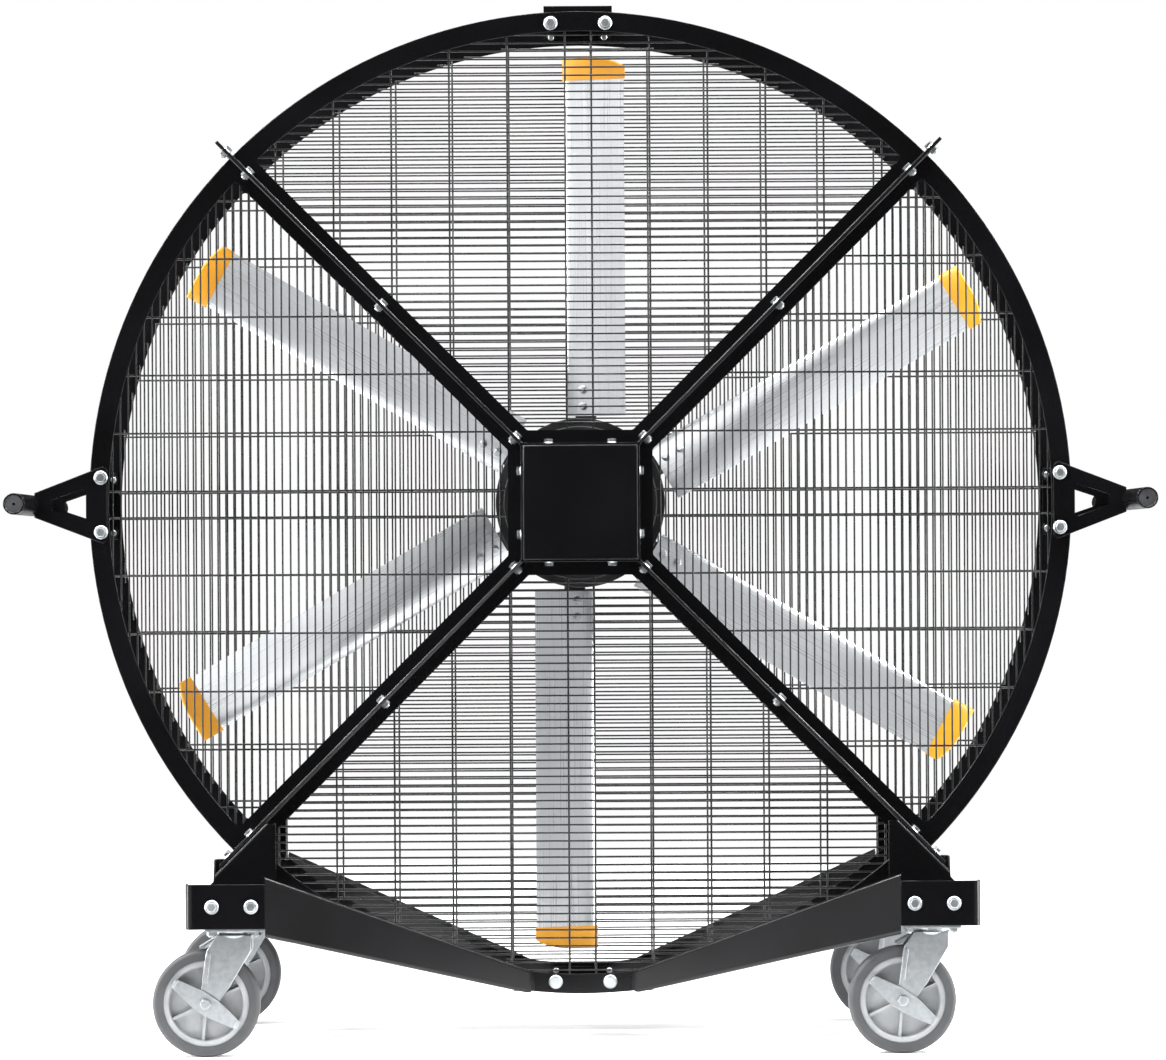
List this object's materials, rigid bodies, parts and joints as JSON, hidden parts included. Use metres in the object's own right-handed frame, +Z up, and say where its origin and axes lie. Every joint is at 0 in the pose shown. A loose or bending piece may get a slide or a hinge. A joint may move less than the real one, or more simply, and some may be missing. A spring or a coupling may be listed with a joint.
{
  "type": "portable floor fan",
  "caption": "Portable floor fan: pitched blades on a hub motor in a round wire-guarded cage, with side handle bars and a wide base on braked swivel casters.",
  "frame": {"origin": "on the floor under the middle of the fan", "axes": "+X to the right handle as seen from the front, +Y from front to rear along the rotor axis, +Z up"},
  "size_m": [2.2642, 0.8836, 2.093],
  "materials": {
    "black_coat": "black powder coat, satin",
    "handle_coat": "black powder coat, satin",
    "wire_coat": "black powder coat on wire, satin",
    "blade_aluminium": "extruded, satin mill finish",
    "cast_aluminium": "cast, fine blasted",
    "yellow_plastic": "moulded, yellow, semi-gloss",
    "zinc_plate": "bright zinc plate",
    "plain_steel": "ground or laminated steel",
    "black_plastic": "moulded, fine grain",
    "grey_plastic": "moulded, fine grain",
    "wheel_plastic": "moulded, light grey",
    "grey_rubber": "moulded, dark grey"
  },
  "bodies": {
    "cage": {"base_tray_left": "black_coat", "base_tray_right": "black_coat", "cable_gland": "black_plastic", "caster_plates": "zinc_plate", "frame_bolts": "zinc_plate", "front_beams": "black_coat", "front_cover": "black_coat", "front_frame_bottom": "black_coat", "front_frame_left": "black_coat", "front_frame_right": "black_coat", "front_frame_top": "black_coat", "front_grille": "wire_coat", "handle_bar_left": "handle_coat", "handle_bar_right": "handle_coat", "handle_brackets": "black_coat", "handle_plugs": "grey_plastic", "leg_left": "black_coat", "leg_right": "black_coat", "motor_axle": "plain_steel", "motor_drive": "black_plastic", "motor_mounts": "black_coat", "rear_beams": "black_coat", "rear_box": "black_coat", "rear_frame_bottom": "black_coat", "rear_frame_left": "black_coat", "rear_frame_right": "black_coat", "rear_frame_top": "black_coat", "rear_grille": "wire_coat", "ring_bridges": "black_coat", "stator": "plain_steel"},
    "rotor": {"rotor_drum": "cast_aluminium", "rotor_cover": "cast_aluminium", "magnet_ring": "plain_steel", "bearings": "plain_steel", "blade_tips": "yellow_plastic", "blade_bolts": "zinc_plate", "blade_1": "blade_aluminium", "blade_2": "blade_aluminium", "blade_3": "blade_aluminium", "blade_4": "blade_aluminium", "blade_5": "blade_aluminium", "blade_6": "blade_aluminium"},
    "knob": {"speed_knob": "black_plastic"},
    "caster_fl": {"caster_fork_fl": "zinc_plate"},
    "wheel_fl": {"wheel_core_fl": "wheel_plastic", "wheel_tread_fl": "grey_rubber"},
    "lever_fl": {"brake_lever_fl": "zinc_plate"},
    "caster_fr": {"caster_fork_fr": "zinc_plate"},
    "wheel_fr": {"wheel_core_fr": "wheel_plastic", "wheel_tread_fr": "grey_rubber"},
    "lever_fr": {"brake_lever_fr": "zinc_plate"},
    "caster_rl": {"caster_fork_rl": "zinc_plate"},
    "wheel_rl": {"wheel_core_rl": "wheel_plastic", "wheel_tread_rl": "grey_rubber"},
    "lever_rl": {"brake_lever_rl": "zinc_plate"},
    "caster_rr": {"caster_fork_rr": "zinc_plate"},
    "wheel_rr": {"wheel_core_rr": "wheel_plastic", "wheel_tread_rr": "grey_rubber"},
    "lever_rr": {"brake_lever_rr": "zinc_plate"}
  },
  "joints": [
    {"name": "rotor_spin", "type": "hinge", "parent": "cage", "child": "rotor", "pos_m": [0, 0, 1.092], "axis": [0, 1, 0], "continuous": true},
    {"name": "knob_turn", "type": "hinge", "parent": "cage", "child": "knob", "pos_m": [0.048, 0.2365, 1.052], "axis": [0, 1, 0], "range_deg": [0, 270]},
    {"name": "swivel_fl", "type": "hinge", "parent": "cage", "child": "caster_fl", "pos_m": [-0.68632, -0.357, 0.23], "axis": [0, 0, 1], "continuous": true},
    {"name": "roll_fl", "type": "hinge", "parent": "caster_fl", "child": "wheel_fl", "pos_m": [-0.74332, -0.357, 0.106], "axis": [0, 1, 0], "continuous": true},
    {"name": "brake_fl", "type": "hinge", "parent": "caster_fl", "child": "lever_fl", "pos_m": [-0.74332, -0.357, 0.106], "axis": [0, 1, 0], "range_deg": [-20, 0]},
    {"name": "swivel_fr", "type": "hinge", "parent": "cage", "child": "caster_fr", "pos_m": [0.68632, -0.357, 0.23], "axis": [0, 0, 1], "continuous": true},
    {"name": "roll_fr", "type": "hinge", "parent": "caster_fr", "child": "wheel_fr", "pos_m": [0.62932, -0.357, 0.106], "axis": [0, 1, 0], "continuous": true},
    {"name": "brake_fr", "type": "hinge", "parent": "caster_fr", "child": "lever_fr", "pos_m": [0.62932, -0.357, 0.106], "axis": [0, 1, 0], "range_deg": [-20, 0]},
    {"name": "swivel_rl", "type": "hinge", "parent": "cage", "child": "caster_rl", "pos_m": [-0.68632, 0.357, 0.23], "axis": [0, 0, 1], "continuous": true},
    {"name": "roll_rl", "type": "hinge", "parent": "caster_rl", "child": "wheel_rl", "pos_m": [-0.74332, 0.357, 0.106], "axis": [0, 1, 0], "continuous": true},
    {"name": "brake_rl", "type": "hinge", "parent": "caster_rl", "child": "lever_rl", "pos_m": [-0.74332, 0.357, 0.106], "axis": [0, 1, 0], "range_deg": [-20, 0]},
    {"name": "swivel_rr", "type": "hinge", "parent": "cage", "child": "caster_rr", "pos_m": [0.68632, 0.357, 0.23], "axis": [0, 0, 1], "continuous": true},
    {"name": "roll_rr", "type": "hinge", "parent": "caster_rr", "child": "wheel_rr", "pos_m": [0.62932, 0.357, 0.106], "axis": [0, 1, 0], "continuous": true},
    {"name": "brake_rr", "type": "hinge", "parent": "caster_rr", "child": "lever_rr", "pos_m": [0.62932, 0.357, 0.106], "axis": [0, 1, 0], "range_deg": [-20, 0]}
  ]
}
